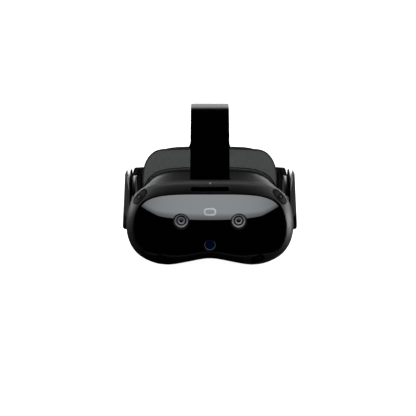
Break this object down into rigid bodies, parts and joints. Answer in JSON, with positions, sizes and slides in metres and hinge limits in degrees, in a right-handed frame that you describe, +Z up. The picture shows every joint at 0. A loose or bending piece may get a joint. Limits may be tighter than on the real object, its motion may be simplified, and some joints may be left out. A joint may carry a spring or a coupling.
{
  "type": "vr headset",
  "caption": "Stand-alone headset with a curved gloss visor, front cameras, side arms with speakers, a padded rear cradle with a fit dial, a face gasket and a top strap.",
  "frame": {"origin": "centre of the box's base, on the surface that the headset rests on", "axes": "+Z up, -Y the way the visor faces, +X to the viewer's right when facing the visor"},
  "size_m": [0.2058, 0.2976, 0.1651],
  "materials": {
    "shell": "fine-grained matt dark grey",
    "gloss_black": "polished black",
    "black_plastic": "satin black",
    "camera_glass": "coated dark lens",
    "lens": "clear coated lens",
    "sensor_blue": "deep blue infrared filter",
    "steel": "bright",
    "magnesium": "cast, satin",
    "circuit_board": "solder mask",
    "cushion": "soft black",
    "rubber": "soft matt black",
    "pad_fabric": "grey-green woven",
    "strap_fabric": "tight black weave"
  },
  "bodies": {
    "front_unit": {"front_bezel": "shell", "front_window": "gloss_black", "main_housing": "shell", "tracking_camera_upper_left": "black_plastic", "tracking_camera_upper_right": "black_plastic", "tracking_camera_lower_left": "black_plastic", "tracking_camera_lower_right": "black_plastic", "colour_camera_left": "camera_glass", "colour_camera_right": "camera_glass", "depth_sensor": "sensor_blue", "vent_grille": "black_plastic", "front_microphone": "steel", "usb_port": "steel", "audio_jack": "black_plastic", "face_plate": "black_plastic", "proximity_sensor": "camera_glass", "chassis_frame": "magnesium", "main_board": "circuit_board", "heat_sink": "magnesium", "fan_frame": "black_plastic", "ipd_guide_rod": "steel", "ipd_motor": "steel", "hinge_bracket_left": "shell", "hinge_bracket_right": "shell", "pivot_pin_left": "steel", "pivot_pin_right": "steel", "strap_bar": "steel", "top_strap_front": "strap_fabric"},
    "head_frame": {"arm_cover_left": "shell", "arm_cover_right": "shell", "arm_liner_left": "black_plastic", "arm_liner_right": "black_plastic", "speaker_cap_left": "gloss_black", "speaker_cap_right": "gloss_black", "speaker_driver_left": "black_plastic", "speaker_driver_right": "black_plastic"},
    "rear_unit": {"rear_cradle": "shell", "rack_band_left": "black_plastic", "rack_band_right": "black_plastic", "battery_pack": "black_plastic", "strap_loop": "black_plastic", "top_strap_rear": "strap_fabric"},
    "back_pad": {"rear_pad": "pad_fabric"},
    "dial": {"fit_dial": "rubber", "dial_pinion": "black_plastic"},
    "face_gasket": {"gasket_frame": "black_plastic", "face_cushion": "cushion", "nose_flap": "rubber"},
    "left_optics": {"lens_barrel_left": "black_plastic", "eye_lens_left": "lens", "display_panel_left": "gloss_black"},
    "right_optics": {"lens_barrel_right": "black_plastic", "eye_lens_right": "lens", "display_panel_right": "gloss_black"},
    "lead_screw": {"ipd_lead_screw": "steel"},
    "fan": {"fan_rotor": "black_plastic"},
    "power": {"power_button": "black_plastic"},
    "volume_up": {"volume_up_button": "black_plastic"},
    "volume_down": {"volume_down_button": "black_plastic"}
  },
  "joints": [
    {"name": "arm_tilt", "type": "hinge", "parent": "front_unit", "child": "head_frame", "pos_m": [0, -0.0672, 0.06], "axis": [1, 0, 0], "range_deg": [-10, 20], "deforming": ["top_strap_front", "top_strap_rear"]},
    {"name": "rear_slide", "type": "slide", "parent": "head_frame", "child": "rear_unit", "axis": [0, 1, 0], "range_m": [0, 0.028], "deforming": ["top_strap_front", "top_strap_rear"]},
    {"name": "fit_dial_turn", "type": "hinge", "parent": "rear_unit", "child": "dial", "pos_m": [0, 0.14, 0.043], "axis": [0, 1, 0], "range_deg": [0, 230]},
    {"name": "back_pad_pull", "type": "slide", "parent": "rear_unit", "child": "back_pad", "axis": [0, -1, 0], "range_m": [0, 0.02]},
    {"name": "gasket_pull", "type": "slide", "parent": "front_unit", "child": "face_gasket", "axis": [0, 1, 0], "range_m": [0, 0.03]},
    {"name": "left_lens_slide", "type": "slide", "parent": "front_unit", "child": "left_optics", "axis": [1, 0, 0], "range_m": [-0.00375, 0.00375]},
    {"name": "right_lens_slide", "type": "slide", "parent": "front_unit", "child": "right_optics", "axis": [1, 0, 0], "range_m": [-0.00375, 0.00375]},
    {"name": "lead_screw_turn", "type": "hinge", "parent": "front_unit", "child": "lead_screw", "pos_m": [0, -0.1162, 0.083], "axis": [1, 0, 0], "range_deg": [-340, 340]},
    {"name": "fan_spin", "type": "hinge", "parent": "front_unit", "child": "fan", "pos_m": [0, -0.1347, 0.071], "axis": [0, 1, 0], "continuous": true},
    {"name": "power_press", "type": "slide", "parent": "front_unit", "child": "power", "axis": [0.039, -0.5471, 0.8362], "range_m": [0, 0.0006], "stiffness_N_per_m": 700, "springref_m": -0.0003},
    {"name": "volume_up_press", "type": "slide", "parent": "front_unit", "child": "volume_up", "axis": [-0.138, -0.5641, 0.8141], "range_m": [0, 0.0006], "stiffness_N_per_m": 700, "springref_m": -0.0003},
    {"name": "volume_down_press", "type": "slide", "parent": "front_unit", "child": "volume_down", "axis": [0.164, -0.5109, 0.8439], "range_m": [0, 0.0006], "stiffness_N_per_m": 700, "springref_m": -0.0003}
  ],
  "couplings": [
    {"joint": "right_lens_slide", "follows": "left_lens_slide", "ratio": -1},
    {"joint": "lead_screw_turn", "follows": "left_lens_slide", "rad_per_m": 1570.8},
    {"joint": "fit_dial_turn", "follows": "rear_slide", "rad_per_m": 142.86}
  ]
}
